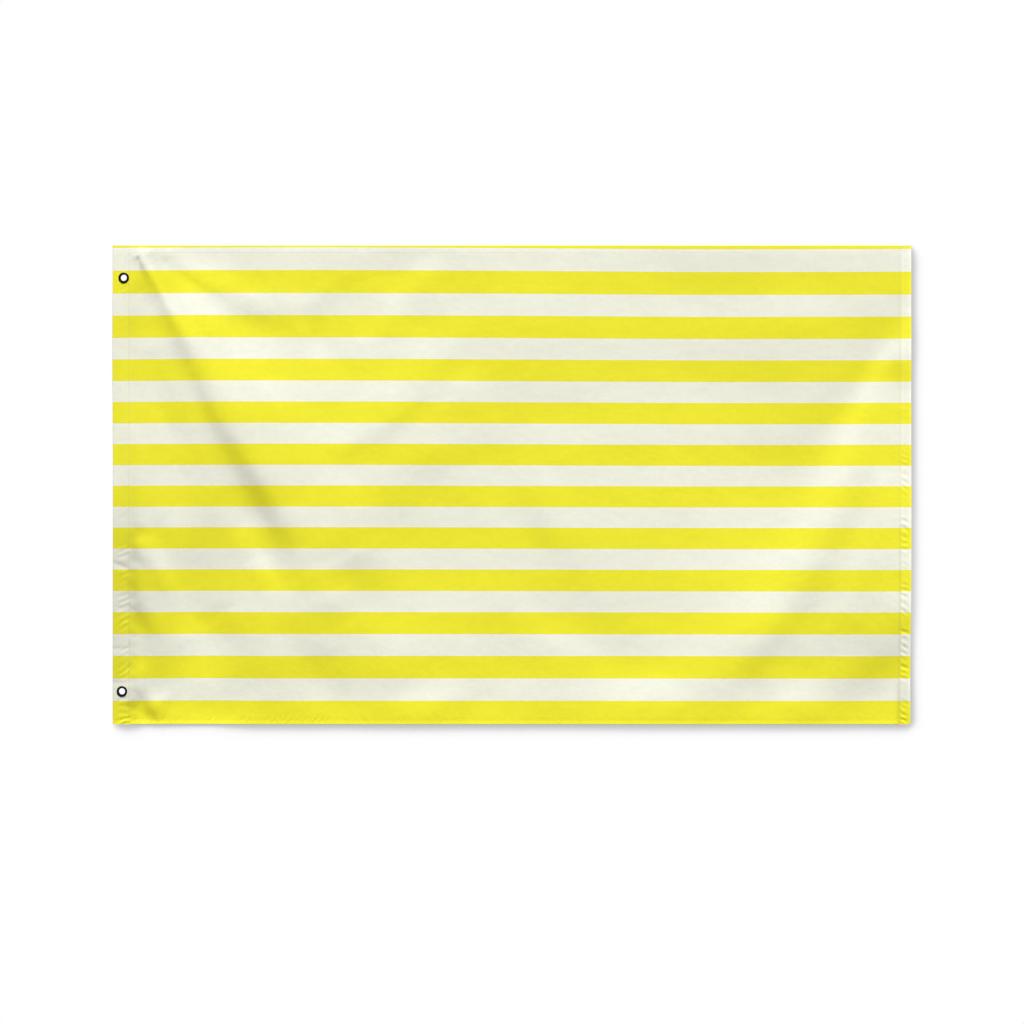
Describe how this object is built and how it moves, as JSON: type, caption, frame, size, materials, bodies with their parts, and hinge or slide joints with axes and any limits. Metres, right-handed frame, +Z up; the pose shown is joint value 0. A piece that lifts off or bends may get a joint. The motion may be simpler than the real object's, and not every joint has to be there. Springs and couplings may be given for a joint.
{
  "type": "striped flag with eyelets",
  "caption": "Rectangular striped cloth flag with a taped heading, two metal eyelets to fly it from and sewn hems.",
  "frame": {"origin": "centre of the upper eyelet's hole, halfway through the thickness of the heading", "axes": "+X from the hoist to the fly end, +Y out of the back, -Y out of the face that is seen, +Z up the hoist"},
  "size_m": [1.524, 0.0061, 0.9144],
  "materials": {
    "printed_cloth": "matte",
    "webbing": "matte",
    "thread": "satin",
    "eyelet_metal": "satin"
  },
  "bodies": {
    "hoist_end": {"heading_sleeve": "printed_cloth", "heading_tape": "webbing", "upper_eyelet": "eyelet_metal", "upper_eyelet_washer": "eyelet_metal", "lower_eyelet": "eyelet_metal", "lower_eyelet_washer": "eyelet_metal", "heading_thread_1": "thread", "heading_thread_2": "thread", "cloth_0": "printed_cloth", "top_hem_thread_0": "thread", "bottom_hem_thread_0": "thread"},
    "cloth_length_1": {"cloth_1": "printed_cloth", "top_hem_thread_1": "thread", "bottom_hem_thread_1": "thread"},
    "cloth_length_2": {"cloth_2": "printed_cloth", "top_hem_thread_2": "thread", "bottom_hem_thread_2": "thread"},
    "cloth_length_3": {"cloth_3": "printed_cloth", "top_hem_thread_3": "thread", "bottom_hem_thread_3": "thread"},
    "fly_end": {"cloth_4": "printed_cloth", "top_hem_thread_4": "thread", "bottom_hem_thread_4": "thread", "fly_hem": "printed_cloth", "fly_hem_thread_1": "thread", "fly_hem_thread_2": "thread"}
  },
  "joints": [
    {"name": "bend_1", "type": "hinge", "parent": "hoist_end", "child": "cloth_length_1", "pos_m": [0.089, 0, -0.3954], "axis": [0, 0, 1], "range_deg": [-60, 60]},
    {"name": "bend_2", "type": "hinge", "parent": "cloth_length_1", "child": "cloth_length_2", "pos_m": [0.444, 0, -0.3954], "axis": [0, 0, 1], "range_deg": [-60, 60]},
    {"name": "bend_3", "type": "hinge", "parent": "cloth_length_2", "child": "cloth_length_3", "pos_m": [0.799, 0, -0.3954], "axis": [0, 0, 1], "range_deg": [-60, 60]},
    {"name": "bend_4", "type": "hinge", "parent": "cloth_length_3", "child": "fly_end", "pos_m": [1.154, 0, -0.3954], "axis": [0, 0, 1], "range_deg": [-60, 60]}
  ]
}
